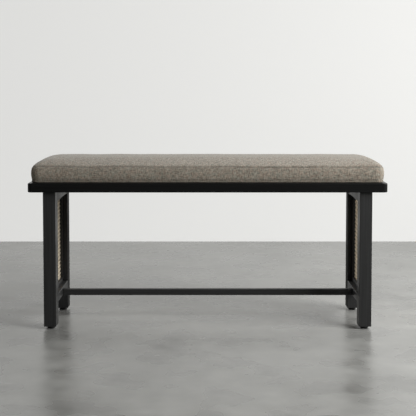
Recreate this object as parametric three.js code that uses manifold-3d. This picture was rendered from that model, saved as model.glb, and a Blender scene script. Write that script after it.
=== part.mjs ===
// Entryway bench: a black wooden frame on four legs, woven cane in both ends, and a box cushion.
// Millimetres. +X runs along the bench, +Y to its rear, +Z up. The origin is on the floor, mid bench.

import * as THREE from 'three';
import { mergeVertices } from 'three/addons/utils/BufferGeometryUtils.js';
import Module from 'manifold-3d';

const wasm = await Module();
wasm.setup();

// Driving dimensions

const LENGTH = 1066;
const DEPTH = 330;
const GAP = 0.3; // between pieces that touch
const PAST = 1; // how far a cutter runs on beyond the face it comes out of
const WELD = 1e-4; // points nearer than this are one point
const ROUND_SIDES = 24;
const CORNER_STEPS = 8;

const FRAME = { top: 438.5, thickness: 27.5, cornerRadius: 12, longRailWidth: 65, endRailWidth: 90 };
const END_RAIL_TENON = { length: 18, width: 60, height: 12, shoulder: 15, lift: 6 };
const DECK = { thickness: 12, drop: 2.5, ledge: 12 }; // the drop makes room for the hook strips
const BATTEN = { x: 150, width: 50, tenonWidth: 40, tenonLength: 10, tenonHeight: 7, lift: 3.5 };

const LEG = { width: 37, depth: 48, x: 470, y: 131, bottom: 8 };
const UPPER_RAIL = { bottom: 381, height: 29.7, tenonLength: 16 };
const LOWER_RAIL = { bottom: 73.5, height: 24.8, tenonLength: 20 };
const SIDE_TENON = { thickness: 12, shoulder: 5 };
const STRETCHER = { bottom: 73.5, section: 19, housing: 4 };

const CANE_FRAME = { width: 12, thickness: 14, recess: 14.5, rimWidth: 4, ledgeThickness: 7 };
const GROOVE = { start: 6.5, end: 9.7, depth: 4.5 };
const CANE = { thickness: 1.2, lip: 0.8 };
const SPLINE = { width: 1.5, rise: 0.6 };

const CUSHION = { length: 1052, width: 313, boxing: 47.5, bulge: 3, cornerRadius: 22, leastRadius: 1 };
const CROWN = { height: 21, reach: 75, fullness: 0.6, steps: 8, spacing: 1.8 };
const BOXING_STEPS = 6;
const CUSHION_CORNER_STEPS = 3;
const COVER_THICKNESS = 1.5;
const ZIP = { length: 900, height: 6, thickness: 1.8 };
const SLIDER = { length: 12, height: 8, thickness: 3, stop: 6 };
const STRIP = { x: 300, length: 160, width: 25, thickness: 0.8 };

const FOOT = { radius: 12, height: 7.7, chamfer: 0.8, socketDepth: 5 };
const STEM = { radius: 4.1, bottom: 3, top: 40, headroom: 4 };
const FOOT_INSERT = { radius: 6, length: 18 };
const FRAME_BOLT = { radius: 3, headRadius: 6.2, headHeight: 3.4, sunk: 0.4, end: 399 };
const LEG_INSERT = { radius: 5, length: 12.4 };
const STRETCHER_BOLT = { radius: 3, headRadius: 5, headHeight: 6, sunk: 1, pastNut: 10, headroom: 3 };
const BARREL_NUT = { radius: 5, length: 14, inset: 27 };
const HEX = { radius: 2.3, depth: 2, sides: 6 };

// Levels and faces that follow from them

const FRAME_BOTTOM = FRAME.top - FRAME.thickness;
const OPENING_X = LENGTH / 2 - FRAME.endRailWidth;
const OPENING_Y = DEPTH / 2 - FRAME.longRailWidth;
const DECK_TOP = FRAME.top - DECK.drop;
const DECK_BOTTOM = DECK_TOP - DECK.thickness;
const LEDGE_LEVEL = DECK_BOTTOM - GAP;
const LEG_TOP = FRAME_BOTTOM - GAP;
const LEG_INNER_Y = LEG.y - LEG.depth / 2;
const LEG_FACE = LEG.width / 2;
const BOLT_Z = STRETCHER.bottom + STRETCHER.section / 2;
const CANE_FACE = CANE_FRAME.recess - LEG_FACE;
const LEDGE_FACE = CANE_FACE + CANE_FRAME.ledgeThickness;
const GROOVE_FLOOR = LEDGE_FACE - GROOVE.depth + GAP;
const CUSHION_BOTTOM = FRAME.top + GAP;
const ZIP_Z = CUSHION_BOTTOM + CUSHION.boxing / 2;

// Materials

const PAINTED_WOOD = new THREE.MeshStandardMaterial({ color: 0x1b1a19, roughness: 0.45, metalness: 0 });
const PLYWOOD = new THREE.MeshStandardMaterial({ color: 0xc9a878, roughness: 0.7, metalness: 0 });
const WOVEN_CANE = new THREE.MeshStandardMaterial({ color: 0xd2bc93, roughness: 0.55, metalness: 0 });
const LINEN = new THREE.MeshStandardMaterial({ color: 0x8f877a, roughness: 0.95, metalness: 0 });
const FOAM = new THREE.MeshStandardMaterial({ color: 0xe8e0cc, roughness: 1, metalness: 0 });
const TAPE = new THREE.MeshStandardMaterial({ color: 0x7b7468, roughness: 0.9, metalness: 0 });
const STEEL = new THREE.MeshStandardMaterial({ color: 0xb4b4b0, roughness: 0.35, metalness: 1 });
const BLACK_PLASTIC = new THREE.MeshStandardMaterial({ color: 0x161616, roughness: 0.6, metalness: 0 });

// Shapes and solids

function block(low, high) {
  const size = high.map((value, axis) => value - low[axis]);
  const centre = high.map((value, axis) => (value + low[axis]) / 2);
  return new THREE.BoxGeometry(...size).translate(...centre);
}

// A round piece on the Z axis. The profile's points are [radius, height], anticlockwise.
function turned(profile) {
  const points = profile.map(([radius, height]) => new THREE.Vector2(radius, height));
  return new THREE.LatheGeometry(points, ROUND_SIDES).rotateX(Math.PI / 2);
}

function rod(radius, bottom, top) {
  return turned([[0, bottom], [radius, bottom], [radius, top], [0, top]]);
}

function sleeve(innerRadius, outerRadius, bottom, top) {
  return turned([
    [innerRadius, bottom],
    [outerRadius, bottom],
    [outerRadius, top],
    [innerRadius, top],
    [innerRadius, bottom],
  ]);
}

function layAlongX(geometry) {
  return geometry.rotateY(Math.PI / 2);
}

function hexRecess(level) {
  const hexagon = new THREE.CylinderGeometry(HEX.radius, HEX.radius, HEX.depth * 2, HEX.sides);
  return hexagon.rotateX(Math.PI / 2).translate(0, 0, level);
}

function roundedRectangle(length, width, radius) {
  const x = length / 2 - radius;
  const y = width / 2 - radius;
  const shape = new THREE.Shape();
  shape.absarc(x, y, radius, 0, Math.PI / 2);
  shape.absarc(-x, y, radius, Math.PI / 2, Math.PI);
  shape.absarc(-x, -y, radius, Math.PI, Math.PI * 1.5);
  shape.absarc(x, -y, radius, Math.PI * 1.5, Math.PI * 2);
  return shape;
}

// A closed skin through level outlines with the same number of points each, from the lowest to the highest.
function loft(sections) {
  const count = sections[0].outline.length;
  const positions = sections.flatMap(({ outline, z }) => outline.flatMap((point) => [point.x, point.y, z]));
  const top = (sections.length - 1) * count;
  const index = [];
  for (let ring = 0; ring < top; ring += count) {
    for (let i = 0; i < count; i += 1) {
      const here = ring + i;
      const next = ring + ((i + 1) % count);
      index.push(here, next, here + count);
      index.push(next, next + count, here + count);
    }
  }
  for (let i = 1; i + 1 < count; i += 1) {
    index.push(0, i + 1, i);
    index.push(top, top + i, top + i + 1);
  }
  const geometry = new THREE.BufferGeometry();
  geometry.setAttribute('position', new THREE.Float32BufferAttribute(positions, 3));
  return geometry.setIndex(index);
}

function solid(shape) {
  if (!shape.isBufferGeometry) return shape;
  const bare = shape.clone();
  bare.deleteAttribute('normal');
  bare.deleteAttribute('uv');
  const merged = mergeVertices(bare, WELD);
  const corners = merged.index.array;
  const triangles = [];
  for (let i = 0; i < corners.length; i += 3) {
    const [a, b, c] = corners.slice(i, i + 3);
    if (a !== b && b !== c && c !== a) triangles.push(a, b, c);
  }
  const vertProperties = merged.attributes.position.array;
  const mesh = new wasm.Mesh({ numProp: 3, vertProperties, triVerts: Uint32Array.from(triangles) });
  return new wasm.Manifold(mesh);
}

function join(first, ...others) {
  return others.reduce((whole, other) => whole.add(solid(other)), solid(first));
}

function cut(first, ...tools) {
  return tools.reduce((whole, tool) => whole.subtract(solid(tool)), solid(first));
}

function overlap(first, second) {
  return solid(first).intersect(solid(second));
}

function named(name, shape, material) {
  const { vertProperties, triVerts } = solid(shape).getMesh();
  const geometry = new THREE.BufferGeometry();
  geometry.setAttribute('position', new THREE.Float32BufferAttribute(vertProperties, 3));
  geometry.setIndex(Array.from(triVerts));
  geometry.computeVertexNormals();
  const mesh = new THREE.Mesh(geometry, material);
  mesh.name = name;
  return mesh;
}

function placed(mesh, x, y, turn = 0) {
  mesh.position.set(x, y, 0);
  mesh.rotation.z = turn;
  return mesh;
}

// Seat frame

function deckRebate() {
  const x = OPENING_X + DECK.ledge;
  const y = OPENING_Y + DECK.ledge;
  return block([-x, -y, LEDGE_LEVEL], [x, y, FRAME.top + PAST]);
}

function endRailTenon(clearance) {
  const { length, width, height, shoulder, lift } = END_RAIL_TENON;
  const low = [OPENING_X + shoulder, -OPENING_Y - length, FRAME_BOTTOM + lift];
  const high = [low[0] + width, OPENING_Y + length, low[2] + height];
  return block(low.map((value) => value - clearance), high.map((value) => value + clearance));
}

function battenTenon(clearance) {
  const low = [-BATTEN.tenonWidth / 2, -OPENING_Y - BATTEN.tenonLength, FRAME_BOTTOM + BATTEN.lift];
  const high = [-low[0], -low[1], low[2] + BATTEN.tenonHeight];
  return block(low.map((value) => value - clearance), high.map((value) => value + clearance));
}

function frameBoltHole() {
  const { radius, headRadius, headHeight, sunk } = FRAME_BOLT;
  const headTop = FRAME.top - sunk;
  return turned([
    [0, FRAME_BOTTOM - PAST],
    [radius + GAP, FRAME_BOTTOM - PAST],
    [radius + GAP, headTop - headHeight - GAP],
    [headRadius + GAP, headTop - GAP],
    [headRadius + GAP, FRAME.top + PAST],
    [0, FRAME.top + PAST],
  ]);
}

// The front rail. Half a turn about Z makes it the rear one.
function longRail() {
  const outline = roundedRectangle(LENGTH, DEPTH, FRAME.cornerRadius);
  const form = { depth: FRAME.thickness, bevelEnabled: false, curveSegments: CORNER_STEPS };
  const slab = new THREE.ExtrudeGeometry(outline, form).translate(0, 0, FRAME_BOTTOM);
  const behind = block([-LENGTH, -OPENING_Y, FRAME_BOTTOM - PAST], [LENGTH, DEPTH, FRAME.top + PAST]);
  const mortises = [endRailTenon(GAP), endRailTenon(GAP).rotateZ(Math.PI)];
  const battenMortises = [-1, 1].map((side) => battenTenon(GAP).translate(side * BATTEN.x, 0, 0));
  const boltHoles = [-1, 1].map((side) => frameBoltHole().translate(side * LEG.x, -LEG.y, 0));
  const rail = cut(slab, behind, deckRebate());
  return cut(rail, ...mortises, ...battenMortises, ...boltHoles);
}

// The right end rail. Half a turn about Z makes it the left one.
function endRail() {
  const y = OPENING_Y - GAP;
  const bar = block([OPENING_X, -y, FRAME_BOTTOM], [LENGTH / 2, y, FRAME.top]);
  return cut(join(bar, endRailTenon(0)), deckRebate());
}

function seatDeck() {
  const x = OPENING_X + DECK.ledge - GAP;
  const y = OPENING_Y + DECK.ledge - GAP;
  return block([-x, -y, DECK_BOTTOM], [x, y, DECK_TOP]);
}

function deckBatten() {
  const y = OPENING_Y - GAP;
  const bar = block([-BATTEN.width / 2, -y, FRAME_BOTTOM], [BATTEN.width / 2, y, LEDGE_LEVEL - GAP]);
  return join(bar, battenTenon(0));
}

function seatFrame() {
  const group = new THREE.Group();
  group.add(named('seat_rail_front', longRail(), PAINTED_WOOD));
  group.add(placed(named('seat_rail_rear', longRail(), PAINTED_WOOD), 0, 0, Math.PI));
  group.add(named('seat_rail_right', endRail(), PAINTED_WOOD));
  group.add(placed(named('seat_rail_left', endRail(), PAINTED_WOOD), 0, 0, Math.PI));
  group.add(named('seat_deck', seatDeck(), PLYWOOD));
  for (const [side, sign] of [['left', -1], ['right', 1]]) {
    group.add(placed(named(`deck_batten_${side}`, deckBatten(), PAINTED_WOOD), sign * BATTEN.x, 0));
  }
  return group;
}

// Ends. Each is drawn about the middle of its legs, with +X pointing away from the middle of the bench.

function sideTenon(rail, clearance) {
  const { thickness, shoulder } = SIDE_TENON;
  const low = [-thickness / 2, -LEG_INNER_Y - rail.tenonLength, rail.bottom + shoulder];
  const high = [thickness / 2, -low[1], rail.bottom + rail.height - shoulder];
  return block(low.map((value) => value - clearance), high.map((value) => value + clearance));
}

// The leg at -Y, drawn on the axis of its own foot. Half a turn about Z makes it the leg at +Y.
function leg() {
  const bar = block([-LEG_FACE, -LEG.depth / 2, LEG.bottom], [LEG_FACE, LEG.depth / 2, LEG_TOP]);
  const footBoreEnd = LEG.bottom + FOOT_INSERT.length + 2 * GAP;
  const footBore = rod(FOOT_INSERT.radius + GAP, LEG.bottom - PAST, footBoreEnd);
  const stemBore = rod(STEM.radius + GAP, LEG.bottom, STEM.top + STEM.headroom);
  const boltBoreEnd = LEG_TOP - LEG_INSERT.length - 2 * GAP;
  const boltBore = rod(LEG_INSERT.radius + GAP, boltBoreEnd, LEG_TOP + PAST);
  const mortises = [UPPER_RAIL, LOWER_RAIL].map((rail) => sideTenon(rail, GAP).translate(0, LEG.y, 0));
  return cut(bar, footBore, stemBore, boltBore, ...mortises);
}

function sideRail(rail) {
  const y = LEG_INNER_Y - GAP;
  const bar = block([-LEG_FACE, -y, rail.bottom], [LEG_FACE, y, rail.bottom + rail.height]);
  return join(bar, sideTenon(rail, 0));
}

function lowerSideRail() {
  const half = STRETCHER.section / 2 + GAP;
  const top = STRETCHER.bottom + STRETCHER.section + GAP;
  const low = [-LEG_FACE - PAST, -half, STRETCHER.bottom - PAST];
  const housing = block(low, [STRETCHER.housing - LEG_FACE, half, top]);
  const headDepth = STRETCHER_BOLT.headHeight + STRETCHER_BOLT.sunk + GAP;
  const headBore = rod(STRETCHER_BOLT.headRadius + GAP, LEG_FACE - headDepth, LEG_FACE + PAST);
  const shankBore = rod(STRETCHER_BOLT.radius + GAP, -LEG.width, LEG.width);
  const bores = [headBore, shankBore].map((bore) => layAlongX(bore).translate(0, 0, BOLT_Z));
  return cut(sideRail(LOWER_RAIL), housing, ...bores);
}

function stretcherBolt() {
  const { radius, headRadius, headHeight, sunk, pastNut } = STRETCHER_BOLT;
  const end = -LEG_FACE - BARREL_NUT.inset - pastNut;
  const headTop = LEG_FACE - sunk;
  const headBottom = headTop - headHeight;
  const shank = [[0, end], [radius, end], [radius, headBottom]];
  const head = [[headRadius, headBottom], [headRadius, headTop], [0, headTop]];
  return cut(turned([...shank, ...head]), hexRecess(headTop));
}

function barrelNut() {
  const x = -LEG_FACE - BARREL_NUT.inset;
  const low = STRETCHER.bottom + GAP;
  const body = rod(BARREL_NUT.radius, low, low + BARREL_NUT.length).translate(x, 0, 0);
  const bore = rod(STRETCHER_BOLT.radius + GAP, x - 2 * BARREL_NUT.radius, x + 2 * BARREL_NUT.radius);
  return cut(body, layAlongX(bore).translate(0, 0, BOLT_Z));
}

function frameBolt() {
  const { radius, headRadius, headHeight, sunk, end } = FRAME_BOLT;
  const top = FRAME.top - sunk;
  const profile = [[0, end], [radius, end], [radius, top - headHeight], [headRadius, top], [0, top]];
  return cut(turned(profile), hexRecess(top));
}

function legInsert() {
  const top = LEG_TOP - GAP;
  return sleeve(FRAME_BOLT.radius + GAP, LEG_INSERT.radius, top - LEG_INSERT.length, top);
}

function footInsert() {
  const bottom = LEG.bottom + GAP;
  return sleeve(STEM.radius + GAP, FOOT_INSERT.radius, bottom, bottom + FOOT_INSERT.length);
}

function footPad() {
  const { radius, height, chamfer, socketDepth } = FOOT;
  const socketRadius = STEM.radius + GAP;
  return turned([
    [0, 0],
    [radius - chamfer, 0],
    [radius, chamfer],
    [radius, height - 2 * chamfer],
    [radius - 2 * chamfer, height],
    [socketRadius, height],
    [socketRadius, height - socketDepth],
    [0, height - socketDepth],
  ]);
}

// A slab inside the opening between the legs and the side rails, drawn in from its edges by the inset.
function insetSlab(inset, from, to) {
  const y = LEG_INNER_Y - GAP - inset;
  const bottom = LOWER_RAIL.bottom + LOWER_RAIL.height + GAP + inset;
  const top = UPPER_RAIL.bottom - GAP - inset;
  return block([from, -y, bottom], [to, y, top]);
}

function insetRing(outer, inner, from, to) {
  return cut(insetSlab(outer, from, to), insetSlab(inner, from - PAST, to + PAST));
}

function caneFrameRing() {
  const { width, thickness, rimWidth } = CANE_FRAME;
  const back = CANE_FACE + thickness;
  const groove = insetRing(GROOVE.start, GROOVE.end, GROOVE_FLOOR - GAP, back + PAST);
  return cut(insetRing(0, width, CANE_FACE, back), insetSlab(rimWidth, LEDGE_FACE, back + PAST), groove);
}

// What a mitre saw leaves of the ring on one of its four edges, the one that faces outward along Y or Z.
function mitreWedge(sideY, sideZ) {
  const y = LEG_INNER_Y - GAP;
  const bottom = LOWER_RAIL.bottom + LOWER_RAIL.height + GAP;
  const top = UPPER_RAIL.bottom - GAP;
  const middle = (bottom + top) / 2;
  const half = (top - bottom) / 2;
  const depth = CANE_FRAME.width + PAST;
  const [edge, run] = sideY ? [y, half] : [half, y];
  const outerEnd = run - GAP;
  const innerEnd = run - depth - GAP;
  const points = [[edge, -outerEnd], [edge, outerEnd], [edge - depth, innerEnd], [edge - depth, -innerEnd]];
  const sign = sideY + sideZ;
  const outline = points.map(([out, along]) => {
    const [u, v] = sideY ? [out, along] : [-along, out];
    return new THREE.Vector2(sign * u, sign * v);
  });
  const form = { depth: LEG.width, bevelEnabled: false };
  const prism = new THREE.ExtrudeGeometry(new THREE.Shape(outline), form);
  const lying = new THREE.Matrix4().makeBasis(
    new THREE.Vector3(0, 1, 0),
    new THREE.Vector3(0, 0, 1),
    new THREE.Vector3(1, 0, 0),
  );
  return prism.applyMatrix4(lying).translate(-LEG_FACE, 0, middle);
}

function caneFrameMember(sideY, sideZ) {
  return overlap(caneFrameRing(), mitreWedge(sideY, sideZ));
}

function canePanel() {
  const edge = GROOVE.end - GAP - CANE.lip;
  const sheetFace = LEDGE_FACE + GAP;
  const sheet = insetSlab(edge, sheetFace, sheetFace + CANE.thickness);
  return join(sheet, insetRing(edge, edge + CANE.lip, GROOVE_FLOOR, sheetFace + CANE.thickness / 2));
}

function caneSpline() {
  const start = GROOVE.start + GAP;
  return insetRing(start, start + SPLINE.width, GROOVE_FLOOR, LEDGE_FACE + SPLINE.rise);
}

function benchEnd(side) {
  const group = new THREE.Group();
  const facing = side === 'right' ? 1 : -1;
  placed(group, facing * LEG.x, 0, side === 'right' ? 0 : Math.PI);
  for (const local of [-1, 1]) {
    const corner = `${local * facing < 0 ? 'front' : 'rear'}_${side}`;
    const turn = local < 0 ? 0 : Math.PI;
    const y = local * LEG.y;
    group.add(placed(named(`leg_${corner}`, leg(), PAINTED_WOOD), 0, y, turn));
    group.add(placed(named(`frame_bolt_${corner}`, frameBolt(), STEEL), 0, y));
    group.add(placed(named(`leg_insert_${corner}`, legInsert(), STEEL), 0, y));
    group.add(placed(named(`foot_insert_${corner}`, footInsert(), STEEL), 0, y));
    group.add(placed(named(`foot_stem_${corner}`, rod(STEM.radius, STEM.bottom, STEM.top), STEEL), 0, y));
    group.add(placed(named(`foot_pad_${corner}`, footPad(), BLACK_PLASTIC), 0, y));
    group.add(named(`cane_frame_${corner}`, caneFrameMember(local, 0), PAINTED_WOOD));
  }
  group.add(named(`cane_frame_bottom_${side}`, caneFrameMember(0, -1), PAINTED_WOOD));
  group.add(named(`cane_frame_top_${side}`, caneFrameMember(0, 1), PAINTED_WOOD));
  group.add(named(`cane_panel_${side}`, canePanel(), WOVEN_CANE));
  group.add(named(`cane_spline_${side}`, caneSpline(), WOVEN_CANE));
  group.add(named(`upper_side_rail_${side}`, sideRail(UPPER_RAIL), PAINTED_WOOD));
  group.add(named(`lower_side_rail_${side}`, lowerSideRail(), PAINTED_WOOD));
  group.add(named(`stretcher_nut_${side}`, barrelNut(), STEEL));
  const bolt = named(`stretcher_bolt_${side}`, stretcherBolt(), STEEL);
  bolt.rotation.y = Math.PI / 2;
  bolt.position.z = BOLT_Z;
  group.add(bolt);
  return group;
}

function stretcher() {
  const { section, housing, bottom } = STRETCHER;
  const innerFace = LEG.x - LEG_FACE;
  const x = innerFace + housing - GAP;
  const bar = block([-x, -section / 2, bottom], [x, section / 2, bottom + section]);
  const nutX = innerFace - BARREL_NUT.inset;
  const boreEnd = nutX - STRETCHER_BOLT.pastNut - STRETCHER_BOLT.headroom;
  const boltBore = layAlongX(rod(STRETCHER_BOLT.radius + GAP, boreEnd, x + PAST)).translate(0, 0, BOLT_Z);
  const nutBoreEnd = bottom + BARREL_NUT.length + 2 * GAP;
  const nutBore = rod(BARREL_NUT.radius + GAP, bottom - PAST, nutBoreEnd).translate(nutX, 0, 0);
  const leftBores = [boltBore, nutBore].map((bore) => bore.clone().rotateZ(Math.PI));
  return cut(bar, boltBore, nutBore, ...leftBores);
}

// Cushion

// How far the sides draw in from their widest line. The height is 0 at the bottom seam and 1 at the top one.
function boxingInset(height) {
  return CUSHION.bulge * (1 - Math.sin(Math.PI * height));
}

function crownHeight(inset) {
  return CROWN.height * (1 - (1 - inset / CROWN.reach) ** 2) ** CROWN.fullness;
}

// The cushion's outer shape, drawn in on every side by the given distance.
function cushionShape(shrink) {
  const section = (inset, z) => {
    const total = 2 * (inset + shrink);
    const radius = Math.max(CUSHION.cornerRadius - inset - shrink, CUSHION.leastRadius);
    const outline = roundedRectangle(CUSHION.length - total, CUSHION.width - total, radius);
    return { outline: outline.getPoints(CUSHION_CORNER_STEPS), z };
  };
  const sections = [];
  const boxing = CUSHION.boxing - 2 * shrink;
  for (let i = 0; i <= BOXING_STEPS; i += 1) {
    const height = i / BOXING_STEPS;
    sections.push(section(boxingInset(height), CUSHION_BOTTOM + shrink + height * boxing));
  }
  const seam = CUSHION_BOTTOM + CUSHION.boxing - shrink;
  for (let i = 1; i <= CROWN.steps; i += 1) {
    const inset = CROWN.reach * (i / CROWN.steps) ** CROWN.spacing;
    sections.push(section(CUSHION.bulge + inset, seam + crownHeight(inset)));
  }
  return loft(sections);
}

function zipSlot(clearance) {
  const x = ZIP.length / 2 + clearance;
  const z = ZIP.height / 2 + clearance;
  const y = CUSHION.width / 2 - COVER_THICKNESS;
  return block([-x, y - 3 * clearance, ZIP_Z - z], [x, y + ZIP.thickness + clearance, ZIP_Z + z]);
}

function zipSlider() {
  const inner = CUSHION.width / 2 - COVER_THICKNESS + ZIP.thickness + GAP;
  const x = ZIP.length / 2 - SLIDER.stop;
  const low = [x - SLIDER.length, inner, ZIP_Z - SLIDER.height / 2];
  return block(low, [x, inner + SLIDER.thickness, low[2] + SLIDER.height]);
}

function strip(bottom) {
  const low = [-STRIP.length / 2, -STRIP.width / 2, bottom];
  return block(low, [-low[0], -low[1], bottom + STRIP.thickness]);
}

function cushion() {
  const group = new THREE.Group();
  const cavity = cushionShape(COVER_THICKNESS);
  group.add(named('cushion_cover', cut(cushionShape(0), cavity, zipSlot(GAP)), LINEN));
  group.add(named('cushion_foam', cushionShape(COVER_THICKNESS + GAP), FOAM));
  group.add(named('cover_zip', zipSlot(0), TAPE));
  group.add(named('zip_slider', zipSlider(), STEEL));
  for (const [side, sign] of [['left', -1], ['right', 1]]) {
    const hook = strip(FRAME.top - STRIP.thickness);
    group.add(placed(named(`cushion_hook_${side}`, hook, TAPE), sign * STRIP.x, 0));
    group.add(placed(named(`seat_loop_${side}`, strip(DECK_TOP + GAP), TAPE), sign * STRIP.x, 0));
  }
  return group;
}

const bench = new THREE.Group();
bench.add(seatFrame(), benchEnd('left'), benchEnd('right'), cushion());
bench.add(named('stretcher', stretcher(), PAINTED_WOOD));

export default bench;
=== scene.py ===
"""The looks of an entryway bench: black painted timber, woven cane ends and a linen box cushion.

Metres, in the part's own frame: +X runs along the bench, +Y to its rear, +Z up, the floor at z = 0.
"""

import math

import bmesh
import bpy
import numpy as np
from mathutils import Matrix, Vector, noise


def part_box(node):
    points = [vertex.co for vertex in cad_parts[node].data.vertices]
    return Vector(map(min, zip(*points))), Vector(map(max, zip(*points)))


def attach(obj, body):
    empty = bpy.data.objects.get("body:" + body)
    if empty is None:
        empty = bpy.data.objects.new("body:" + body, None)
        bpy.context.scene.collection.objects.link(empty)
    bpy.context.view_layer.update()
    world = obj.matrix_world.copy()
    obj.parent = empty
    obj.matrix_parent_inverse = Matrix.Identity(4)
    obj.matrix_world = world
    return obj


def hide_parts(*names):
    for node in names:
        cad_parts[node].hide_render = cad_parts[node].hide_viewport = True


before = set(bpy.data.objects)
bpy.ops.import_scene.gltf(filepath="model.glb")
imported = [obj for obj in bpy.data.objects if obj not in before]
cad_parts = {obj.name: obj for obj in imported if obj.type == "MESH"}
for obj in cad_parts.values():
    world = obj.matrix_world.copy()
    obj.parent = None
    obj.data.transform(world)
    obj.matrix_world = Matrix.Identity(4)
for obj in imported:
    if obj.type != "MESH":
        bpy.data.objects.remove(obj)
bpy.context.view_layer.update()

MM = 0.001
GAP = 0.3 * MM
SIDES = (("left", -1), ("right", 1))
CORNERS = [f"{end}_{side}" for side, _ in SIDES for end in ("front", "rear")]
X, Y, Z = range(3)


# ---------------------------------------------------------------- shaders

class Shader:
    """A material's node tree, with short ways to add and join nodes."""

    def __init__(self, name):
        self.material = bpy.data.materials.new(name)
        self.material.use_nodes = True
        self.tree = self.material.node_tree
        self.surface = self.tree.nodes["Principled BSDF"]
        self.place = self.add("ShaderNodeTexCoord").outputs["Object"]

    def put(self, socket, value):
        if isinstance(value, bpy.types.NodeSocket):
            self.tree.links.new(value, socket)
        else:
            socket.default_value = value

    def add(self, kind, inputs=None, **settings):
        node = self.tree.nodes.new(kind)
        for key, value in settings.items():
            setattr(node, key, value)
        for key, value in (inputs or {}).items():
            self.put(node.inputs[key], value)
        return node

    def set(self, **inputs):
        for key, value in inputs.items():
            self.put(self.surface.inputs[key.replace("_", " ")], value)

    def stretch(self, scale):
        return self.add("ShaderNodeMapping", {"Vector": self.place, "Scale": scale}).outputs["Vector"]

    def noise(self, vector, scale=1.0, detail=3.0, roughness=0.55):
        inputs = {"Vector": vector, "Scale": scale, "Detail": detail, "Roughness": roughness}
        return self.add("ShaderNodeTexNoise", inputs).outputs["Fac"]

    def remap(self, value, low, high, to_low=0.0, to_high=1.0):
        inputs = {"Value": value, "From Min": low, "From Max": high, "To Min": to_low, "To Max": to_high}
        return self.add("ShaderNodeMapRange", inputs).outputs["Result"]

    def calc(self, operation, first, second=0.0):
        node = self.add("ShaderNodeMath", operation=operation)
        self.put(node.inputs[0], first)
        self.put(node.inputs[1], second)
        return node.outputs[0]

    def blend(self, amount, first, second):
        node = self.add("ShaderNodeMix", data_type="RGBA")
        self.put(node.inputs["Factor"], amount)
        self.put(node.inputs["A"], rgba(first))
        self.put(node.inputs["B"], rgba(second))
        return node.outputs["Result"]

    def bump(self, height, strength, distance):
        inputs = {"Height": height, "Strength": strength, "Distance": distance}
        self.set(Normal=self.add("ShaderNodeBump", inputs).outputs["Normal"])


def rgba(colour):
    return colour if isinstance(colour, bpy.types.NodeSocket) else (*colour, 1.0)


BLACK_PAINT = ((0.0275, 0.0275, 0.0270), (0.041, 0.0415, 0.0415))


def painted_wood(grain_axis, worn_and_sheen=False, variant="", depth=1.0, gloss=0.16, roughness=(0.38, 0.5)):
    """Satin black paint that lets the grain show faintly. The second kind, for eased edges, is painted
    lighter: partly rubbed wear, partly a painted highlight where the rounding catches the light.
    """
    name_suffix = ("_edge" if worn_and_sheen else "") + variant
    shader = Shader(f"painted_wood_{'xyz'[grain_axis]}{name_suffix}")

    def streaks(along, across, detail):
        scale = [along if axis == grain_axis else across for axis in range(3)]
        return shader.noise(shader.stretch(scale), detail=detail)

    grain = streaks(5.0, 240.0, 5)
    pores = streaks(30.0, 1400.0, 3)
    cloud = shader.noise(shader.place, 9.0)
    # Painted highlight and wear: the eased edges are twice as light
    level = depth * (2.0 if worn_and_sheen else 1.0)
    dark, light = [[level * part for part in colour] for colour in BLACK_PAINT]
    shader.set(Base_Color=shader.blend(shader.remap(grain, 0.3, 0.7), dark, light),
               Roughness=shader.remap(cloud, 0.3, 0.7, *roughness), Specular_IOR_Level=gloss)
    height = shader.calc("ADD", shader.calc("MULTIPLY", grain, 0.7), shader.calc("MULTIPLY", pores, 0.3))
    shader.bump(height, 0.35, 0.12 * MM)
    return shader.material


def plywood():
    """Birch plywood: a long face grain, and the plies' stripes on the cut edges."""
    shader = Shader("plywood")
    grain = shader.noise(shader.stretch((6.0, 170.0, 170.0)), detail=5)
    face = shader.blend(shader.remap(grain, 0.3, 0.7), (0.52, 0.34, 0.17), (0.66, 0.47, 0.27))
    split = shader.add("ShaderNodeSeparateXYZ", {"Vector": shader.place}).outputs["Z"]
    plies = shader.calc("SINE", shader.calc("MULTIPLY", split, 2 * math.pi / (2.4 * MM)))
    edge = shader.blend(shader.remap(plies, -0.4, 0.4), (0.36, 0.22, 0.11), (0.62, 0.45, 0.27))
    normal = shader.add("ShaderNodeNewGeometry").outputs["Normal"]
    up = shader.add("ShaderNodeSeparateXYZ", {"Vector": normal}).outputs["Z"]
    shader.set(Base_Color=shader.blend(shader.calc("ABSOLUTE", up), edge, face), Roughness=0.68)
    shader.bump(grain, 0.3, 0.2 * MM)
    return shader.material


def cane_strand():
    """The glossy skin of rattan: straw coloured, with darker flecks, and painted shade where a strand lies
    deep under the others and along each strand's sides.
    """
    shader = Shader("cane_strand")
    tone = shader.noise(shader.place, 70.0, detail=2)
    fleck = shader.noise(shader.place, 420.0, detail=4)
    straw = shader.blend(shader.remap(tone, 0.32, 0.68), (0.90, 0.77, 0.57), (0.99, 0.90, 0.72))
    weave_shade = shader.add("ShaderNodeAttribute", attribute_name="weave_shade").outputs["Fac"]
    # Painted shade: strands that lie under others, and the strands' sides, go darker
    straw = shader.blend(shader.calc("MULTIPLY", weave_shade, 0.9), straw, (0.31, 0.22, 0.135))
    colour = shader.blend(shader.remap(fleck, 0.62, 0.78, 0.0, 0.4), straw, (0.36, 0.24, 0.13))
    shader.set(Base_Color=colour, Roughness=shader.remap(fleck, 0.3, 0.7, 0.34, 0.5),
               Specular_IOR_Level=0.45)
    shader.bump(fleck, 0.3, 0.1 * MM)
    return shader.material


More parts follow.
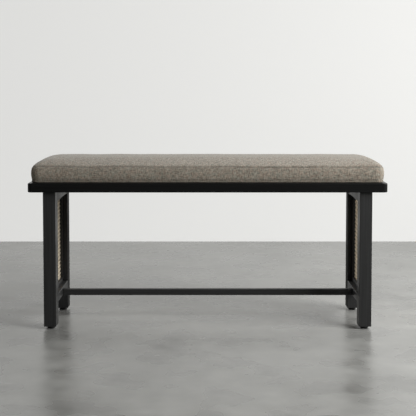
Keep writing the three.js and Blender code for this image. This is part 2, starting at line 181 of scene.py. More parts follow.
def linen():
    """A taupe linen weave with slubs: uneven threads both ways, warm and cool, light and dark."""
    shader = Shader("linen")
    place = shader.add("ShaderNodeSeparateXYZ", {"Vector": shader.place})
    x, y, z = (place.outputs[axis] for axis in "XYZ")
    geometry = shader.add("ShaderNodeNewGeometry")
    facing = shader.add("ShaderNodeSeparateXYZ", {"Vector": geometry.outputs["Normal"]}).outputs["X"]
    on_end = shader.remap(shader.calc("ABSOLUTE", facing), 0.62, 0.78)

    def threads(x_scale, yz_scale, shift, detail):
        """Threads that run round the cushion, or across that way. X and Y swap roles on its ends."""
        places = []
        for scale in ((x_scale, yz_scale, yz_scale), (yz_scale, x_scale, yz_scale)):
            inputs = {"Vector": shader.place, "Scale": scale, "Location": shift}
            places.append(shader.add("ShaderNodeMapping", inputs).outputs["Vector"])
        vector = shader.add("ShaderNodeMix", {"Factor": on_end}, data_type="VECTOR")
        shader.put(vector.inputs["A"], places[0])
        shader.put(vector.inputs["B"], places[1])
        return shader.noise(vector.outputs["Result"], detail=detail)

    round_slubs = threads(95.0, 430.0, (3.1, 0.7, 5.3), 2)
    cross_slubs = threads(430.0, 100.0, (9.2, 4.4, 1.9), 2)
    fine_round = threads(120.0, 1100.0, (1.0, 2.0, 3.0), 1)
    fine_cross = threads(1100.0, 120.0, (6.0, 1.0, 8.0), 1)
    warmth = shader.noise(shader.place, 150.0, detail=2)

    slubs = shader.calc("MULTIPLY", shader.calc("ADD", round_slubs, cross_slubs), 0.5)
    fine = shader.calc("MULTIPLY", shader.calc("ADD", fine_round, fine_cross), 0.5)
    tone = shader.calc("ADD", shader.calc("MULTIPLY", slubs, 0.62), shader.calc("MULTIPLY", fine, 0.38))
    cool = shader.blend(shader.remap(tone, 0.39, 0.61), (0.120, 0.117, 0.094), (0.418, 0.394, 0.326))
    warm = shader.blend(shader.remap(tone, 0.39, 0.61), (0.144, 0.109, 0.083), (0.457, 0.384, 0.309))
    colour = shader.blend(shader.remap(warmth, 0.35, 0.65), cool, warm)

    # Painted shade: the fold of a seam lies in its own shadow, and so do the puckers beside the top seam and
    # the bottom edge where the cover turns under
    fold = shader.add("ShaderNodeAttribute", attribute_name="seam").outputs["Fac"]
    colour = shader.blend(shader.calc("MULTIPLY", fold, 0.52), colour, (0.07, 0.06, 0.048))

    pick = 2 * math.pi / (1.5 * MM)
    over = shader.calc("SINE", shader.calc("MULTIPLY", shader.calc("ADD", x, y), pick))
    under = shader.calc("SINE", shader.calc("MULTIPLY", shader.calc("ADD", z, y), pick))
    weave = shader.calc("MULTIPLY", over, under)
    height = shader.calc("ADD", shader.calc("MULTIPLY", weave, 0.25), shader.calc("MULTIPLY", tone, 1.5))
    shader.set(Base_Color=colour, Roughness=shader.remap(tone, 0.4, 0.6, 0.98, 0.86), Sheen_Weight=0.25,
               Sheen_Roughness=0.5, Specular_IOR_Level=0.18)
    shader.bump(height, 0.6, 0.5 * MM)
    return shader.material


def woven_tape(name, pitch, dark, light):
    """Nylon tape with ribs across its length."""
    shader = Shader(name)
    place = shader.add("ShaderNodeSeparateXYZ", {"Vector": shader.place}).outputs["X"]
    ribs = shader.calc("SINE", shader.calc("MULTIPLY", place, 2 * math.pi / pitch))
    fuzz = shader.noise(shader.place, 1500.0)
    tone = shader.calc("ADD", shader.calc("MULTIPLY", ribs, 0.25), fuzz)
    shader.set(Base_Color=shader.blend(shader.remap(tone, 0.2, 0.8), dark, light), Roughness=0.9)
    shader.bump(tone, 0.6, 0.3 * MM)
    return shader.material


def plated_steel():
    """Zinc plate: slightly mottled, with fine turning marks."""
    shader = Shader("plated_steel")
    mottle = shader.noise(shader.place, 220.0)
    marks = shader.noise(shader.stretch((300.0, 300.0, 4000.0)))
    colour = shader.blend(shader.remap(mottle, 0.3, 0.7), (0.36, 0.36, 0.35), (0.52, 0.52, 0.50))
    shader.set(Base_Color=colour, Metallic=1.0, Roughness=shader.remap(marks, 0.3, 0.7, 0.28, 0.45))
    shader.bump(marks, 0.25, 0.05 * MM)
    return shader.material


def moulded_nylon():
    """Matt black nylon with a fine moulded texture, scuffed a little."""
    shader = Shader("moulded_nylon")
    grain = shader.noise(shader.place, 2600.0, detail=2)
    scuffs = shader.noise(shader.place, 160.0, detail=4)
    colour = shader.blend(shader.remap(scuffs, 0.5, 0.75), (0.010, 0.010, 0.010), (0.026, 0.026, 0.025))
    shader.set(Base_Color=colour, Roughness=shader.remap(scuffs, 0.3, 0.7, 0.5, 0.68))
    shader.bump(grain, 0.4, 0.06 * MM)
    return shader.material


PAINT = {axis: [painted_wood(axis), painted_wood(axis, worn_and_sheen=True)] for axis in (X, Y, Z)}
SEAT_PAINT = {axis: [painted_wood(axis, worn_and_sheen, "_seat", 0.24, 0.2, (0.28, 0.36)) for worn_and_sheen in (False, True)]
              for axis in (X, Y)}
# Painted shade: the rear legs stand in the room's shade, so they take a copy of the paint that shines less
SHADED_REAR_PAINT = {Z: [painted_wood(Z, worn_and_sheen, "_rear", 1.15, 0.004) for worn_and_sheen in (False, True)]}
PLYWOOD = plywood()
CANE = cane_strand()
LINEN = linen()
TAPE = woven_tape("hook_and_loop", 1.6 * MM, (0.075, 0.066, 0.055), (0.21, 0.19, 0.16))
ZIP = woven_tape("zip_coil", 2.4 * MM, (0.055, 0.050, 0.043), (0.22, 0.20, 0.17))
STEEL = plated_steel()
NYLON = moulded_nylon()


# ---------------------------------------------------------------- mesh helpers

def size_of(node):
    low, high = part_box(node)
    return low, high, high - low


def block(low, high):
    """A box as a bmesh."""
    low, high = Vector(low), Vector(high)
    bm = bmesh.new()
    place = Matrix.Translation((low + high) / 2) @ Matrix.Diagonal((*(high - low), 1.0))
    bmesh.ops.create_cube(bm, size=1.0, matrix=place)
    return bm


def turned(profile, sides=48, centre=(0.0, 0.0)):
    """A round piece on a vertical axis. Its (radius, height) points run from axis to axis, bottom first."""
    bm = bmesh.new()
    cx, cy = centre
    angles = [2 * math.pi * i / sides for i in range(sides)]
    rings = []
    for radius, height in profile:
        if radius == 0:
            rings.append([bm.verts.new((cx, cy, height))] * sides)
        else:
            rings.append([bm.verts.new((cx + radius * math.cos(a), cy + radius * math.sin(a), height))
                          for a in angles])
    for low, high in zip(rings, rings[1:]):
        for i in range(sides):
            j = (i + 1) % sides
            corners = list(dict.fromkeys((low[i], low[j], high[j], high[i])))
            if len(corners) > 2:
                bm.faces.new(corners)
    return bm


def ease(bm, radius, edges=None, segments=3):
    """Rounds over the given edges, or all of them. The rounded faces take the second material."""
    made = bmesh.ops.bevel(bm, geom=list(edges or bm.edges), offset=radius, offset_type="OFFSET",
                           segments=segments, profile=0.5, affect="EDGES", clamp_overlap=True)
    for face in made["faces"]:
        face.material_index = 1
    return bm


def plain_object(bm, name):
    mesh = bpy.data.meshes.new(name)
    bm.to_mesh(mesh)
    bm.free()
    piece = bpy.data.objects.new(name, mesh)
    bpy.context.collection.objects.link(piece)
    return piece


def carve(piece, steps):
    """Joins, cuts or trims a piece with other solids, in order. Each step is (operation, bmesh)."""
    tools = []
    for operation, bm in steps:
        tool = plain_object(bm, "tool")
        change = piece.modifiers.new(operation, "BOOLEAN")
        change.operation = operation
        change.solver = "EXACT"
        change.object = tool
        tools.append(tool)
    bake_modifiers(piece)
    for tool in tools:
        mesh = tool.data
        bpy.data.objects.remove(tool)
        bpy.data.meshes.remove(mesh)


def bake_modifiers(piece):
    shaped = piece.evaluated_get(bpy.context.evaluated_depsgraph_get())
    mesh = bpy.data.meshes.new_from_object(shaped)
    old = piece.data
    piece.modifiers.clear()
    piece.data = mesh
    mesh.name = old.name
    bpy.data.meshes.remove(old)


def finish_piece(piece, materials, body, replaced=(), sharp_degrees=40.0):
    """Gives a piece its materials and clean shading, sets it on the body it rides on, and hides the CAD nodes
    it stands in for.
    """
    piece.data.materials.clear()
    for material in materials:
        piece.data.materials.append(material)
    piece.data.polygons.foreach_set("use_smooth", [True] * len(piece.data.polygons))
    piece.data.set_sharp_from_angle(angle=math.radians(sharp_degrees))
    even = piece.modifiers.new("even_shading", "WEIGHTED_NORMAL")
    even.keep_sharp = True
    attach(piece, body)
    if replaced:
        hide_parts(*replaced)


def timber(node, low, high, grain_axis, radius, steps=(), paint=PAINT):
    """A straight painted member with eased edges, in place of its CAD node."""
    piece = plain_object(ease(block(low, high), radius), f"{node}_timber")
    if steps:
        carve(piece, steps)
    finish_piece(piece, paint[grain_axis], "root", [node])


# ---------------------------------------------------------------- seat frame

def rounded_outline(half_x, half_y, radius, per_corner=8):
    """Points of a rounded rectangle about the origin, anticlockwise from its right side."""
    points = []
    for quarter, (sx, sy) in enumerate(((1, 1), (-1, 1), (-1, -1), (1, -1))):
        for i in range(per_corner + 1):
            angle = math.pi / 2 * (quarter + i / per_corner)
            points.append((sx * (half_x - radius) + radius * math.cos(angle),
                           sy * (half_y - radius) + radius * math.sin(angle)))
    return points


def seat_slab():
    """The seat frame's outside as one slab, its long edges rounded over."""
    low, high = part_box("seat_rail_front")
    corner_radius, edge_radius = 12 * MM, 3.2 * MM
    bm = bmesh.new()
    outline = rounded_outline(high.x, -low.y, corner_radius)
    bottom = bm.faces.new([bm.verts.new((px, py, low.z)) for px, py in outline])
    top = bmesh.ops.extrude_face_region(bm, geom=[bottom])["geom"]
    lifted = [part for part in top if isinstance(part, bmesh.types.BMVert)]
    bmesh.ops.translate(bm, verts=lifted, vec=(0, 0, high.z - low.z))
    bmesh.ops.recalc_face_normals(bm, faces=bm.faces)
    level = [edge for edge in bm.edges if abs(edge.verts[0].co.z - edge.verts[1].co.z) < 1e-6]
    return ease(bm, edge_radius, level, segments=4)


def bolt_hole(corner):
    low, high, size = size_of(f"frame_bolt_{corner}")
    centre = (low + high) / 2
    shank = 3.3 * MM
    head = size.x / 2 + GAP
    cone = head - shank
    profile = [(0, low.z), (shank, low.z), (shank, high.z - cone - GAP), (head, high.z - GAP),
               (head, high.z + 5 * MM), (0, high.z + 5 * MM)]
    return turned(profile, 32, (centre.x, centre.y))


def seat_rails():
    deck_low, deck_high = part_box("seat_deck")
    inner_y = -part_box("seat_rail_front")[1].y
    inner_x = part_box("seat_rail_right")[0].x
    reach = 1.0
    opening = ((-inner_x, -inner_y, 0), (inner_x, inner_y, reach))
    clearance = Vector((GAP, GAP, GAP))
    rebate = (deck_low - clearance, (deck_high.x + GAP, deck_high.y + GAP, reach))
    long_joint, end_joint = inner_y, inner_y - GAP
    regions = {
        "front": ((-reach, -reach, 0), (reach, -long_joint, reach), X),
        "rear": ((-reach, long_joint, 0), (reach, reach, reach), X),
        "left": ((-reach, -end_joint, 0), (0, end_joint, reach), Y),
        "right": ((0, -end_joint, 0), (reach, end_joint, reach), Y),
    }
    for place, (low, high, grain_axis) in regions.items():
        piece = plain_object(seat_slab(), f"seat_rail_{place}_timber")
        steps = [("INTERSECT", block(low, high)), ("DIFFERENCE", block(*opening)),
                 ("DIFFERENCE", block(*rebate))]
        if grain_axis == X:
            steps += [("DIFFERENCE", bolt_hole(f"{place}_{side}")) for side, _ in SIDES]
        carve(piece, steps)
        finish_piece(piece, SEAT_PAINT[grain_axis], "root", [f"seat_rail_{place}"])


def seat_deck():
    low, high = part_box("seat_deck")
    piece = plain_object(ease(block(low, high), 0.5 * MM, segments=2), "seat_deck_board")
    finish_piece(piece, [PLYWOOD, PLYWOOD], "root", ["seat_deck"])
    inner_y = -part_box("seat_rail_front")[1].y
    for side, _ in SIDES:
        node = f"deck_batten_{side}"
        low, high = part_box(node)
        timber(node, (low.x, -inner_y + GAP, low.z), (high.x, inner_y - GAP, high.z), Y, 1.5 * MM)


# ---------------------------------------------------------------- legs and rails

def legs():
    for corner in CORNERS:
        low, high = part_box(f"leg_{corner}")
        centre = (low + high) / 2
        _, insert_high, insert_size = size_of(f"foot_insert_{corner}")
        stem_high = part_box(f"foot_stem_{corner}")[1].z
        wide = insert_size.x / 2 + GAP
        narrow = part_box(f"foot_stem_{corner}")[1].x - centre.x + GAP
        depth = stem_high + 4 * MM
        bore = [(0, 0), (wide, 0), (wide, insert_high.z + GAP), (narrow, insert_high.z + GAP),
                (narrow, depth), (0, depth)]
        steps = [("DIFFERENCE", turned(bore, 32, (centre.x, centre.y)))]
        # The rear legs take the copy of the paint with painted shade
        paint = SHADED_REAR_PAINT if corner.startswith("rear") else PAINT
        timber(f"leg_{corner}", low, high, Z, 1.0 * MM, steps, paint)


def side_rails():
    counterbore = 6.3 * MM
    for side, sign in SIDES:
        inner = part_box(f"leg_rear_{side}")[0].y - GAP
        for level in ("upper", "lower"):
            node = f"{level}_side_rail_{side}"
            low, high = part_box(node)
            steps = []
            if level == "lower":
                bolt_low, bolt_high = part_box(f"stretcher_bolt_{side}")
                radius = (bolt_high.z - bolt_low.z) / 2 + GAP
                head_outer = bolt_high.x if sign > 0 else -bolt_low.x
                floor, reach = head_outer - counterbore, 1.0
                bore = turned([(0, floor), (radius, floor), (radius, reach), (0, reach)], 32)
                turn = Matrix.Rotation(sign * math.pi / 2, 4, "Y")
                middle = Matrix.Translation((0, 0, (bolt_low.z + bolt_high.z) / 2))
                bmesh.ops.transform(bore, matrix=middle @ turn, verts=bore.verts)
                steps = [("DIFFERENCE", bore)]
            timber(node, (low.x, -inner, low.z), (high.x, inner, high.z), Y, 1.6 * MM, steps)


def stretcher():
    low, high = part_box("stretcher")
    inner_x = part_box("lower_side_rail_right")[0].x - GAP
    timber("stretcher", (-inner_x, low.y, low.z), (inner_x, high.y, high.z), X, 1.5 * MM)


# ---------------------------------------------------------------- cane

PITCH = 12.7 * MM
PAIR = 1.55 * MM
# How much painted shade each kind of strand takes, and how much more along every strand's sides
LEVEL_SHADE, UPRIGHT_SHADE, DIAGONAL_SHADE, EDGE_SHADE = 0, 0.45, 0.35, 0.45
STRAND = {"width": 2.4 * MM, "thickness": 1.0 * MM, "step": PITCH / 4}


class Weave:
    """Flat strands in a plane, gathered into one mesh. u and v are in the plane, h stands out of it."""

    def __init__(self):
        self.points, self.faces, self.weave_shade = [], [], []

    def strand(self, u, v, h, weave_shade):
        """One strand through arrays of points, wide and thin, and how much painted shade it takes from the
        ones over it.
        """
        run = np.stack([np.gradient(u), np.gradient(v)], 1)
        run /= np.linalg.norm(run, axis=1)[:, None]
        half, thick = STRAND["width"] / 2, STRAND["thickness"] / 2
        section = ((-1.0, 0.0), (-0.55, 1.0), (0.55, 1.0), (1.0, 0.0), (0.55, -1.0), (-0.55, -1.0))
        first = len(self.points)
        for (du, dv), pu, pv, ph in zip(run, u, v, h):
            self.points += [(pu - dv * half * a, pv + du * half * a, ph + thick * b) for a, b in section]
            # Painted shade: the strand's two side edges are darker
            self.weave_shade += [min(weave_shade + (EDGE_SHADE if b == 0 else 0), 1) for _, b in section]
        count = len(section)
        for ring in range(len(u) - 1):
            start = first + ring * count
            for i in range(count):
                j = (i + 1) % count
                self.faces.append((start + i, start + j, start + count + j, start + count + i))
        last = first + (len(u) - 1) * count
        self.faces.append(tuple(range(first, first + count))[::-1])
        self.faces.append(tuple(range(last, last + count)))


def steps_between(low, high):
    return np.linspace(low, high, max(2, round((high - low) / STRAND["step"]) + 1))


def woven(width, height):
    """Cane webbing: pairs of upright and level strands, and single diagonals that cross between them."""
    weave = Weave()
    proud, rise, diagonal_rise = 1.2 * MM, 0.3 * MM, 0.4 * MM
    turn = 2 * math.pi / PITCH
    half_w, half_h = width / 2, height / 2
    for k in range(-int(half_w / PITCH), int(half_w / PITCH) + 1):
        for lean in (-1, 1):
            v = steps_between(-half_h, half_h)
            u = np.full_like(v, k * PITCH + lean * PAIR)
            weave.strand(u, v, lean * rise * np.sin(turn * v), UPRIGHT_SHADE)
    for k in range(-int(half_h / PITCH), int(half_h / PITCH) + 1):
        for lean in (-1, 1):
            u = steps_between(-half_w, half_w)
            v = np.full_like(u, k * PITCH + lean * PAIR)
            weave.strand(u, v, -proud - lean * rise * np.sin(turn * u), LEVEL_SHADE)
    reach = int((half_w + half_h) / PITCH) + 1
    for k in range(-reach, reach):
        offset = (k + 0.5) * PITCH
        low, high = max(-half_w, offset - half_h), min(half_w, offset + half_h)
        if high - low < PITCH / 2:
            continue
        u = steps_between(low, high)
        wave = diagonal_rise * np.cos(turn * (offset - u))
        weave.strand(u, offset - u, wave, DIAGONAL_SHADE)
        weave.strand(u[::-1], -(offset - u[::-1]), -wave[::-1], DIAGONAL_SHADE)
    return weave


def cane_panels():
    """Each panel's webbing, from the inside of one groove to the opposite one, in place of the sheet."""
    for side, sign in SIDES:
        low, high, size = size_of(f"cane_panel_{side}")
        weave = woven(size.y - GAP, size.z - GAP)
        middle = (low + high) / 2
        plane_x = sign * (max(abs(low.x), abs(high.x)) + 0.1 * MM)
        mesh = bpy.data.meshes.new(f"cane_webbing_{side}")
        points = [(plane_x + sign * h, middle.y + sign * u, middle.z + v) for u, v, h in weave.points]
        mesh.from_pydata(points, [], weave.faces)
        # The painted shade of each point of the weave
        weave_shade = mesh.attributes.new("weave_shade", "FLOAT", "POINT")
        weave_shade.data.foreach_set("value", weave.weave_shade)
        mesh.update()
        piece = bpy.data.objects.new(f"cane_webbing_{side}", mesh)
        bpy.context.collection.objects.link(piece)
        finish_piece(piece, [CANE], "root", [f"cane_panel_{side}"], 75.0)


# ---------------------------------------------------------------- feet and fasteners

def round_piece(node, name, profile, material, body):
    low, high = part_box(node)
    middle = (low + high) / 2
    piece = plain_object(turned(profile, 48, (middle.x, middle.y)), name)
    finish_piece(piece, [material], body, [node], 30.0)


def feet():
    for corner in CORNERS:
        _, high, size = size_of(f"foot_pad_{corner}")
        radius, top = size.x / 2, high.z
        stem_low, stem_high, stem_size = size_of(f"foot_stem_{corner}")
        stem = stem_size.x / 2
        socket, socket_floor = stem + GAP, stem_low.z - GAP
        pad = [(0, 0), (radius - 0.8 * MM, 0), (radius - 0.25 * MM, 0.25 * MM), (radius, 0.8 * MM),
               (radius, top - 1.4 * MM), (radius - 0.3 * MM, top - 0.8 * MM),
               (radius - 1.0 * MM, top - 0.3 * MM), (radius - 2.0 * MM, top),
               (socket, top), (socket, socket_floor), (0, socket_floor)]
        node, body = f"foot_pad_{corner}", f"foot_{corner}"
        round_piece(node, f"{node}_moulding", pad, NYLON, body)
        pitch = 1.25 * MM
        thread = [(0, stem_low.z), (stem - 0.8 * MM, stem_low.z)]
        z = stem_low.z + pitch
        while z < stem_high.z - pitch:
            thread += [(stem - 0.7 * MM, z), (stem, z + pitch / 2)]
            z += pitch
        thread += [(stem - 0.9 * MM, stem_high.z), (0, stem_high.z)]
        node, body = f"foot_stem_{corner}", f"stem_{corner}"
        round_piece(node, f"{node}_thread", thread, STEEL, body)


def carry_over(node, material):
    """Keeps a CAD node's own shape, with a finished material."""
    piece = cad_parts[node]
    piece.data.materials.clear()
    piece.data.materials.append(material)


def fasteners():
    for corner in CORNERS:
        for kind in ("frame_bolt", "leg_insert", "foot_insert"):
            carry_over(f"{kind}_{corner}", STEEL)
    for side, _ in SIDES:
        carry_over(f"stretcher_bolt_{side}", STEEL)
        carry_over(f"stretcher_nut_{side}", STEEL)
        carry_over(f"cushion_hook_{side}", TAPE)
        carry_over(f"seat_loop_{side}", TAPE)
        carry_over(f"cane_spline_{side}", CANE)
        for place in ("top", "bottom"):
            carry_over(f"cane_frame_{place}_{side}", PAINT[Y][0])
    for corner in CORNERS:
        carry_over(f"cane_frame_{corner}", PAINT[Z][0])
    carry_over("cover_zip", ZIP)


# ---------------------------------------------------------------- cushion

class CushionShape:
    """The cushion's measures, and how far a point is from its outline."""

    def __init__(self):
        low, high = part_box("cushion_cover")
        self.half_x, self.half_y = high.x, high.y
        self.corner = 22 * MM
        self.bottom, self.top = low.z, high.z
        self.bottom_seam = low.z + 6 * MM
        self.top_seam = low.z + 47.5 * MM
        self.crown = high.z - self.top_seam - 1 * MM
        self.end_shoulder, self.side_shoulder = 2.5 * MM, 3 * MM

    def inset(self, x, y):
        """How far inside the widest outline a point is, seen from above. Negative outside."""
        qx = np.abs(x) - (self.half_x - self.corner)
        qy = np.abs(y) - (self.half_y - self.corner)
        outside = np.hypot(np.maximum(qx, 0), np.maximum(qy, 0))
        return self.corner - (outside + np.minimum(np.maximum(qx, qy), 0))


def cushion_rings(shape):
    """(inset at the ends, inset at the long sides, height) up the section, from underside to top."""
    low, seam = shape.bottom, shape.bottom_seam
    underside = (shape.half_y * 0.9, shape.half_y * 0.5, 24 * MM, 9 * MM, 3.5 * MM)
    rings = [(inset, inset, low) for inset in underside]
    rings.append((2.0 * MM, 1.6 * MM, low + 2.5 * MM))
    steps = 9
    for i in range(steps + 1):
        t = i / steps
        swell = 1.3 * MM * math.sin(math.pi * t)
        fall, rise = 1.8 * MM * (1 - t) ** 2, t ** 3
        end = 1.6 * fall + shape.end_shoulder * rise - 1.4 * swell
        side = fall + shape.side_shoulder * rise - swell
        rings.append((end, side, seam + (shape.top_seam - seam) * t))
    reach, steps = shape.half_y * 0.93, 16
    for i in range(1, steps + 1):
        inset = reach * (i / steps) ** 1.8
        rings.append((shape.end_shoulder + inset, shape.side_shoulder + inset, None))
    return rings


def crown_height(shape, x, y):
    """The crown over a point of the top panel: it rises steeply from the seams, then is nearly flat."""
    from_end = max(shape.half_x - shape.end_shoulder - abs(x), 0)
    from_side = max(shape.half_y - shape.side_shoulder - abs(y), 0)
    side_reach = (50 + 25 * min(from_end / (120 * MM), 1)) * MM
    end = (1 - max(1 - from_end / (48 * MM), 0) ** 2) ** 0.64
    side = (1 - max(1 - from_side / side_reach, 0) ** 2) ** 0.8
    return shape.top_seam + shape.crown * end * side * (0.93 + 0.07 * min(from_side / shape.half_y, 1))


def divided(outline, per_corner, long_steps=28, short_steps=8):
    """The outline with further points along its four straight runs, the first of which is a long side."""
    points = []
    for i, start in enumerate(outline):
        points.append(start)
        corner, place = divmod(i, per_corner + 1)
        if place == per_corner:
            end = outline[(i + 1) % len(outline)]
            steps = short_steps if corner % 2 else long_steps
            points += [tuple(a + (b - a) * k / steps for a, b in zip(start, end)) for k in range(1, steps)]
    return points


def cushion_mesh(shape):
    bm = bmesh.new()
    rings, per_corner = [], 6
    for end_inset, side_inset, z in cushion_rings(shape):
        radius = max(shape.corner - side_inset, 1 * MM)
        outline = rounded_outline(shape.half_x - end_inset, shape.half_y - side_inset, radius, per_corner)
        rings.append([bm.verts.new((px, py, crown_height(shape, px, py) if z is None else z))
                      for px, py in divided(outline, per_corner)])
    bm.faces.new(rings[0][::-1])
    bm.faces.new(rings[-1])
    for low, high in zip(rings, rings[1:]):
        for i in range(len(low)):
            j = (i + 1) % len(low)
            bm.faces.new((low[i], low[j], high[j], high[i]))
    return bm


def coordinates(mesh):
    flat = np.empty(len(mesh.vertices) * 3)
    mesh.vertices.foreach_get("co", flat)
    return flat.reshape(-1, 3)


def remesh(piece, voxel):
    fine = piece.modifiers.new("remesh", "REMESH")
    fine.mode = "VOXEL"
    fine.voxel_size = voxel
    fine.use_smooth_shade = True
    bake_modifiers(piece)


def inflate(piece, shape, pressure, cap):
    """Blows the cover up against its pinned seams as cloth, then limits how far any point may move."""
    before = coordinates(piece.data)
    inset = shape.inset(before[:, 0], before[:, 1])
    hold = piece.vertex_groups.new(name="hold")
    height = before[:, 2]
    on_seam = (np.abs(height - shape.top_seam) < 3.5 * MM) | (np.abs(height - shape.bottom_seam) < 3.5 * MM)
    pinned = (on_seam & (inset < 14 * MM)) | (height < shape.bottom + 4 * MM)
    hold.add([int(index) for index in np.nonzero(pinned)[0]], 1.0, "REPLACE")
    cloth = piece.modifiers.new("cloth", "CLOTH")
    settings = cloth.settings
    settings.quality = 5
    settings.mass = 0.35
    settings.tension_stiffness = settings.compression_stiffness = 18
    settings.shear_stiffness = 6
    settings.bending_stiffness = 0.8
    settings.use_pressure = True
    settings.uniform_pressure_force = pressure
    settings.vertex_group_mass = "hold"
    settings.effector_weights.gravity = 0
    cloth.collision_settings.use_self_collision = False
    scene = bpy.context.scene
    for step in range(1, 21):
        scene.frame_set(step)
        piece.evaluated_get(bpy.context.evaluated_depsgraph_get())
    bake_modifiers(piece)
    scene.frame_set(1)
    after = coordinates(piece.data)
    move = after - before
    far = np.linalg.norm(move, axis=1)
    move *= np.minimum(1, cap / np.maximum(far, 1e-9))[:, None]
    piece.data.vertices.foreach_set("co", (before + move).ravel())


def subdivide(piece):
    finer = piece.modifiers.new("finer", "SUBSURF")
    finer.levels = finer.render_levels = 1
    bake_modifiers(piece)


def fill_bottom_edge(points, shape):
    """Pushes the cover out to a small radius where it meets the seat, as a stuffed cushion's does."""
    x, y, z = points.T
    inset = shape.inset(x, y)
    height = np.clip((z - shape.bottom) / (3.5 * MM), 0, 1)
    wanted = (1.6 + 3.4 * (1 - height) ** 1.6) * MM
    low = (z < shape.bottom_seam) & (inset < 14 * MM)
    push = np.where(low, np.maximum(inset - wanted, 0), 0)
    core = np.stack([np.clip(x, -shape.half_x + shape.corner, shape.half_x - shape.corner),
                     np.clip(y, -shape.half_y + shape.corner, shape.half_y - shape.corner)], 1)
    outward = points[:, :2] - core
    outward /= np.maximum(np.linalg.norm(outward, axis=1), 1e-9)[:, None]
    points[:, :2] += outward * push[:, None]


def sew(piece, shape):
    """Draws the seams in, puckers the cloth beside them, fills the bottom edge, clears the zip and records
    the painted shade of the seams and the bottom edge.
    """
    mesh = piece.data
    points = coordinates(mesh)
    normals = np.empty(len(mesh.vertices) * 3)
    mesh.vertex_normals.foreach_get("vector", normals)
    normals = normals.reshape(-1, 3)
    fill_bottom_edge(points, shape)
    x, y, z = points.T.copy()
    edge = shape.inset(x, y) < 16 * MM
    along = np.where(np.abs(x) > shape.half_x - shape.corner, y, x)

    def wander(scale, size, shift):
        return np.array([size * noise.noise(Vector((a * scale, shift, b * 3.0))) for a, b in zip(along, y)])

    def band(distance, width):
        return np.exp(-((distance / width) ** 2)) * edge

    top = z - shape.top_seam - wander(7.0, 2.2 * MM, 3.0)
    bottom = z - shape.bottom_seam
    stitch = np.maximum(wander(60.0, 1.0, 11.0), 0)
    fold = np.maximum(band(top, 2.0 * MM), 0.6 * band(bottom, 2.2 * MM))
    tick = stitch * band(top, 6 * MM)
    slack = wander(13.0, 1.8 * MM, 7.0) * np.exp(-((top / (30 * MM)) ** 2))
    lift = -1.8 * MM * fold - 1.6 * MM * tick + slack
    zip_low, zip_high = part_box("cover_zip")
    zip_middle = (zip_low.z + zip_high.z) / 2
    on_rear = (y > shape.half_y * 0.9) & (np.abs(x) < zip_high.x + 6 * MM)
    lift -= np.where(on_rear, 3.2 * MM * np.exp(-(((z - zip_middle) / (4.2 * MM)) ** 4)), 0)
    points += normals * lift[:, None]
    points[:, 2] = np.maximum(points[:, 2], shape.bottom)
    mesh.vertices.foreach_set("co", points.ravel())
    # Painted shade for the shader: the seams' folds, the puckers by the top seam and the bottom edge where
    # the cover turns under
    seam = mesh.attributes.new("seam", "FLOAT", "POINT")
    turned_under_shade = 0.5 * np.clip((shape.bottom_seam + 1 * MM - z) / (6 * MM), 0, 1) * edge
    seam.data.foreach_set("value", np.clip(fold + 0.9 * tick + turned_under_shade, 0, 1))
    mesh.update()


def cushion():
    shape = CushionShape()
    piece = plain_object(cushion_mesh(shape), "cushion_linen_cover")
    remesh(piece, 6 * MM)
    inflate(piece, shape, 4.0, 5 * MM)
    subdivide(piece)
    sew(piece, shape)
    finish_piece(piece, [LINEN], "cushion", ["cushion_cover", "cushion_foam"], 80.0)


def zip_slider():
    """A die-cast slider with a bridge and a hanging pull."""
    low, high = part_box("zip_slider")
    middle = (low + high) / 2
    body = ease(block((low.x, low.y, low.z + 0.8 * MM), (high.x, low.y + 1.6 * MM, high.z - 0.8 * MM)),
                0.6 * MM)
    piece = plain_object(body, "zip_slider_casting")
    bridge = ease(block((low.x + 3 * MM, low.y + 1 * MM, middle.z - 1 * MM),
                        (high.x - 3 * MM, high.y, middle.z + 1 * MM)), 0.5 * MM)
    hole = block((low.x + 4.2 * MM, low.y + 1.7 * MM, low.z),
                 (high.x - 4.2 * MM, high.y - 0.6 * MM, high.z))
    carve(piece, [("UNION", bridge), ("DIFFERENCE", hole)])
    finish_piece(piece, [STEEL], "zip_slider", ["zip_slider"])


# ---------------------------------------------------------------- camera, floor and light

def camera():
    """At standing height in front of the bench, a long lens, looking down a little."""
    data = bpy.data.cameras.new("camera")
    data.lens = 90.58
    data.sensor_width = 36
    data.shift_y = -0.1539
    eye = bpy.data.objects.new("camera", data)
    eye.location = (0.0012, -3.242, 0.7324)
    eye.rotation_euler = (math.radians(90 - 3.3), 0, 0)
    bpy.context.collection.objects.link(eye)
    bpy.context.scene.camera = eye


def plane(name, corners, material):
    mesh = bpy.data.meshes.new(name)
    mesh.from_pydata(corners, [], [(0, 1, 2, 3)])
    mesh.materials.append(material)
    sheet = bpy.data.objects.new(name, mesh)
    bpy.context.collection.objects.link(sheet)


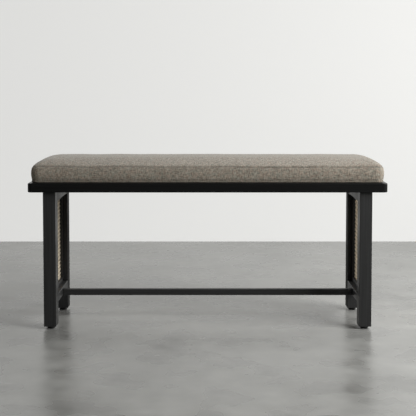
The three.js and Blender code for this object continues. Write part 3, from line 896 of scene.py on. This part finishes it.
def polished_concrete():
    shader = Shader("polished_concrete")
    warp = shader.add("ShaderNodeTexNoise", {"Vector": shader.place, "Scale": 2.5, "Detail": 2.0})
    bend = shader.add("ShaderNodeVectorMath", {0: warp.outputs["Color"], 1: (0.08, 0.08, 0.0)},
                      operation="MULTIPLY")
    bent = shader.add("ShaderNodeVectorMath", {0: bend.outputs["Vector"], 1: shader.place}, operation="ADD")
    place = bent.outputs["Vector"]
    cloud = shader.noise(place, 2.4, detail=3)
    patch = shader.noise(place, 6.5, detail=2, roughness=0.6)
    smear = shader.noise(place, 18.0, detail=2)
    tone = shader.calc("ADD", shader.calc("MULTIPLY", cloud, 0.35), shader.calc("MULTIPLY", patch, 0.55))
    tone = shader.calc("ADD", tone, shader.calc("MULTIPLY", smear, 0.1))
    # Painted light: the floor grows a little lighter towards the right, where the lamps stand
    along = shader.add("ShaderNodeSeparateXYZ", {"Vector": shader.place}).outputs["X"]
    tone = shader.calc("ADD", tone, shader.remap(along, -1.0, 1.0, -0.015, 0.015))
    colour = shader.blend(shader.remap(tone, 0.32, 0.68), (0.165, 0.165, 0.155), (0.365, 0.365, 0.348))
    shader.set(Base_Color=colour, Roughness=shader.remap(patch, 0.3, 0.7, 0.22, 0.36), Specular_IOR_Level=0.5)
    return shader.material


def wall_paint():
    """Seen from the room only, so that it doesn't stand in the way of a view from behind."""
    shader = Shader("wall_paint")
    along = shader.add("ShaderNodeSeparateXYZ", {"Vector": shader.place}).outputs["X"]
    cloud = shader.noise(shader.place, 0.8)
    level = shader.calc("ADD", shader.remap(along, -1.0, 1.0), shader.calc("MULTIPLY", cloud, 0.1))
    glow = shader.blend(level, (0.56, 0.56, 0.55), (0.55, 0.55, 0.54))
    shader.set(Base_Color=(0.35, 0.35, 0.34, 1), Roughness=0.9, Emission_Color=glow, Emission_Strength=1.0)
    behind = shader.add("ShaderNodeNewGeometry").outputs["Backfacing"]
    clear = shader.add("ShaderNodeBsdfTransparent")
    either = shader.add("ShaderNodeMixShader", {"Fac": behind})
    shader.tree.links.new(shader.surface.outputs[0], either.inputs[1])
    shader.tree.links.new(clear.outputs[0], either.inputs[2])
    output = shader.tree.nodes["Material Output"]
    shader.tree.links.new(either.outputs[0], output.inputs["Surface"])
    return shader.material


def room():
    far, wall_y, height = 14.0, 1.588, 7.0
    plane("floor", [(-far, -far, 0), (far, -far, 0), (far, far, 0), (-far, far, 0)], polished_concrete())
    plane("wall", [(-far, wall_y, 0), (far, wall_y, 0), (far, wall_y, height), (-far, wall_y, height)],
          wall_paint())


def softbox(name, place, target, size, power, colour=(1, 1, 1)):
    data = bpy.data.lights.new(name, "AREA")
    data.shape = "RECTANGLE"
    data.size, data.size_y = size
    data.energy = power
    data.color = colour
    lamp = bpy.data.objects.new(name, data)
    lamp.location = place
    lamp.rotation_euler = (Vector(target) - Vector(place)).to_track_quat("-Z", "Y").to_euler()
    bpy.context.collection.objects.link(lamp)


def light():
    world = bpy.data.worlds.new("studio")
    bpy.context.scene.world = world
    world.use_nodes = True
    world.node_tree.nodes["Background"].inputs["Color"].default_value = (1.0, 1.0, 0.985, 1)
    world.node_tree.nodes["Background"].inputs["Strength"].default_value = 0.07
    softbox("key", (2.25, -1.2, 1.8), (0.0, 0, 0.3), (1.8, 1.6), 99)
    softbox("overhead", (1.8, 0.3, 3.0), (1.2, 0.3, 0.0), (3.0, 3.0), 7)
    softbox("right_rear", (2.5, 1.0, 1.3), (0.9, 0.7, 0.0), (0.8, 0.8), 12)
    softbox("front_strip", (1.91, -1.87, 0.8), (0.53, -0.2, 0.4), (0.12, 1.6), 2)
    softbox("left_strip", (-2.6, -1.0, 1.0), (0, 0, 0.4), (0.5, 1.6), 2)
    bpy.context.scene.view_settings.view_transform = "Standard"


# ---------------------------------------------------------------- the bench

camera()
room()
light()
seat_rails()
seat_deck()
legs()
side_rails()
stretcher()
cane_panels()
feet()
fasteners()
cushion()
zip_slider()
